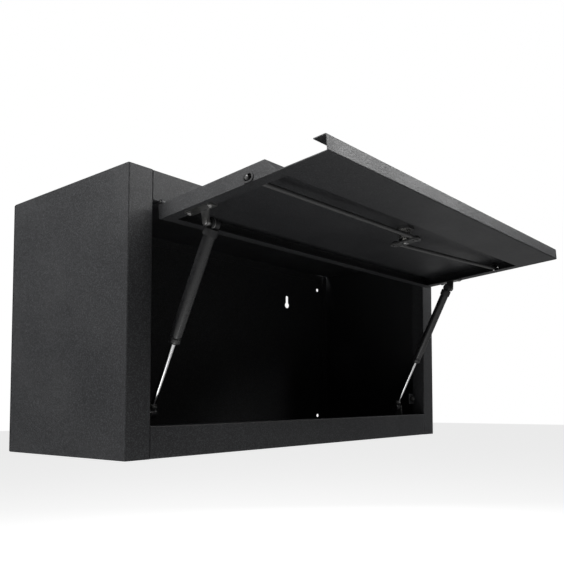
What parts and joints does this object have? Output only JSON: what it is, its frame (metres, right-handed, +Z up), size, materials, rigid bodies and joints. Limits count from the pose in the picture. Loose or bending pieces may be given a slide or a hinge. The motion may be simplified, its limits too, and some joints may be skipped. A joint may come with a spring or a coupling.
{
  "type": "wall cabinet",
  "caption": "Wall-hung steel storage cabinet with a lift-up front door held open by gas struts, a full-width finger recess and a rod lock.",
  "frame": {"origin": "centre of the wall-screw pattern, on the back face that lies against the wall", "axes": "+X to the right seen from the front, +Y into the wall, +Z up; the door is stored open, as it stands on its struts"},
  "size_m": [0.68, 0.5559, 0.35],
  "materials": {
    "body_coat": "fine-textured black powder coat",
    "hinge_coat": "black paint, worn at the knuckles",
    "zinc": "bright zinc plate",
    "black_zinc": "black zinc plate, rubbed on its edges",
    "rod_chrome": "ground hard chrome",
    "tube_black": "semi-gloss black paint",
    "black_plastic": "moulded black nylon",
    "rubber": "soft black rubber",
    "lock_chrome": "nickel plate"
  },
  "bodies": {
    "cabinet": {"side_panel_left": "body_coat", "side_panel_right": "body_coat", "top_panel": "body_coat", "bottom_panel": "body_coat", "back_panel": "body_coat", "frame_hinge_leaf": "hinge_coat", "hinge_pin": "zinc", "lower_bracket_left": "zinc", "lower_bracket_right": "zinc", "lower_bracket_screws": "zinc", "lower_ball_stud_left": "zinc", "lower_ball_stud_right": "zinc", "door_bumpers": "rubber"},
    "door": {"door_pan": "body_coat", "door_side_left": "body_coat", "door_side_right": "body_coat", "door_hinge_leaf": "hinge_coat", "upper_plate_left": "zinc", "upper_plate_right": "zinc", "upper_plate_screws": "zinc", "upper_stud_end_left": "zinc", "upper_stud_end_right": "zinc", "rod_guide_left": "black_plastic", "rod_guide_right": "black_plastic", "lock_barrel": "lock_chrome", "lock_nut": "black_zinc"},
    "lock_core": {"lock_plug": "lock_chrome", "lock_cam": "black_zinc", "cam_screw": "zinc", "cam_rivets": "black_zinc"},
    "lock_rod_left": {"lock_rod_left": "black_zinc"},
    "lock_rod_right": {"lock_rod_right": "black_zinc"},
    "strut_rod_left": {"strut_rod_left": "rod_chrome", "lower_socket_left": "black_plastic", "rod_lock_nut_left": "zinc", "strut_piston_left": "zinc"},
    "strut_tube_left": {"strut_tube_left": "tube_black", "strut_guide_left": "black_plastic", "strut_seal_left": "rubber", "upper_socket_left": "black_plastic", "upper_ball_stud_left": "zinc"},
    "strut_rod_right": {"strut_rod_right": "rod_chrome", "lower_socket_right": "black_plastic", "rod_lock_nut_right": "zinc", "strut_piston_right": "zinc"},
    "strut_tube_right": {"strut_tube_right": "tube_black", "strut_guide_right": "black_plastic", "strut_seal_right": "rubber", "upper_socket_right": "black_plastic", "upper_ball_stud_right": "zinc"}
  },
  "joints": [
    {"name": "door_hinge", "type": "hinge", "parent": "cabinet", "child": "door", "pos_m": [0, -0.286, 0.1356], "axis": [1, 0, 0], "range_deg": [0, 94.6], "stiffness_Nm_per_rad": 1.5, "springref_deg": -143.24},
    {"name": "lock_turn", "type": "hinge", "parent": "door", "child": "lock_core", "pos_m": [0, -0.44344, 0.12519], "axis": [0, -0.0802, -0.9968], "range_deg": [0, 90]},
    {"name": "lock_rod_left_pivot", "type": "hinge", "parent": "lock_core", "child": "lock_rod_left", "pos_m": [0, -0.46102, 0.1249], "axis": [0, -0.0802, -0.9968], "range_deg": [-93.3, 0]},
    {"name": "lock_rod_right_pivot", "type": "hinge", "parent": "lock_core", "child": "lock_rod_right", "pos_m": [0, -0.42613, 0.12209], "axis": [0, -0.0802, -0.9968], "range_deg": [-93.3, 0]},
    {"name": "strut_left_pivot", "type": "hinge", "parent": "cabinet", "child": "strut_rod_left", "pos_m": [-0.276, -0.235, -0.121], "axis": [1, 0, 0], "range_deg": [-24.49, 0]},
    {"name": "strut_left_stroke", "type": "slide", "parent": "strut_rod_left", "child": "strut_tube_left", "axis": [0, -0.4729, 0.8811], "range_m": [-0.0628, 0]},
    {"name": "strut_right_pivot", "type": "hinge", "parent": "cabinet", "child": "strut_rod_right", "pos_m": [0.276, -0.235, -0.121], "axis": [1, 0, 0], "range_deg": [-24.49, 0]},
    {"name": "strut_right_stroke", "type": "slide", "parent": "strut_rod_right", "child": "strut_tube_right", "axis": [0, -0.4729, 0.8811], "range_m": [-0.0628, 0]}
  ],
  "couplings": [
    {"joint": "lock_rod_left_pivot", "follows": "lock_turn", "ratio": -1.0366},
    {"joint": "lock_rod_right_pivot", "follows": "lock_turn", "ratio": -1.0366},
    {"joint": "strut_left_pivot", "follows": "door_hinge", "ratio": -0.25867},
    {"joint": "strut_left_stroke", "follows": "door_hinge", "m_per_rad": -0.038022},
    {"joint": "strut_right_pivot", "follows": "door_hinge", "ratio": -0.25867},
    {"joint": "strut_right_stroke", "follows": "door_hinge", "m_per_rad": -0.038022}
  ]
}
